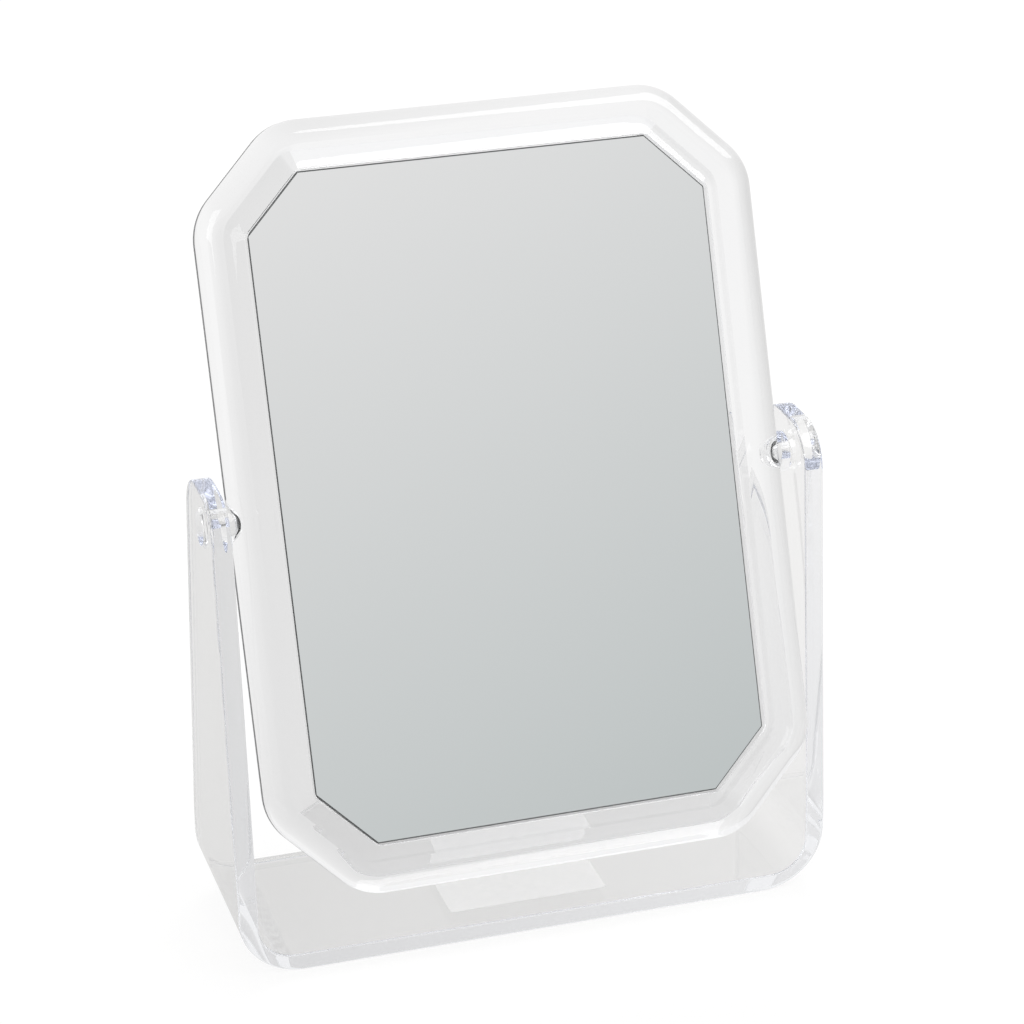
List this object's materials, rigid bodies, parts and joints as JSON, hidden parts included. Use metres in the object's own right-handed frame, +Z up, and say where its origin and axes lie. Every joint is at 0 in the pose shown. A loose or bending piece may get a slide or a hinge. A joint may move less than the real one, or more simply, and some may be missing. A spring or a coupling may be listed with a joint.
{
  "type": "makeup mirror on a swivel stand",
  "caption": "Clear plastic makeup mirror: an eight-sided two-faced mirror in a wide clear frame that swivels between the arms of a clear U-shaped stand.",
  "frame": {"origin": "on the table, under the middle of the base plate", "axes": "+Z up, -Y towards the user, +X to the right of someone who faces the mirror"},
  "size_m": [0.17, 0.0852, 0.2209],
  "materials": {
    "clear_stand": "clear, polished",
    "clear_frame": "clear, polished",
    "clear_stud": "clear, polished",
    "mirror_plate": "silvered glass",
    "adhesive": "white foam and film",
    "label_film": "bare film"
  },
  "bodies": {
    "stand": {"stand": "clear_stand", "left_ball_stud": "clear_stud", "right_ball_stud": "clear_stud", "base_label": "label_film"},
    "mirror": {"front_bezel": "clear_frame", "rear_bezel": "clear_frame", "front_mirror_plate": "mirror_plate", "rear_magnifying_plate": "mirror_plate", "front_plate_tape": "adhesive", "rear_plate_foam": "adhesive"}
  },
  "joints": [
    {"name": "mirror_tilt", "type": "hinge", "parent": "stand", "child": "mirror", "pos_m": [0, 0, 0.1237], "axis": [1, 0, 0], "continuous": true}
  ]
}
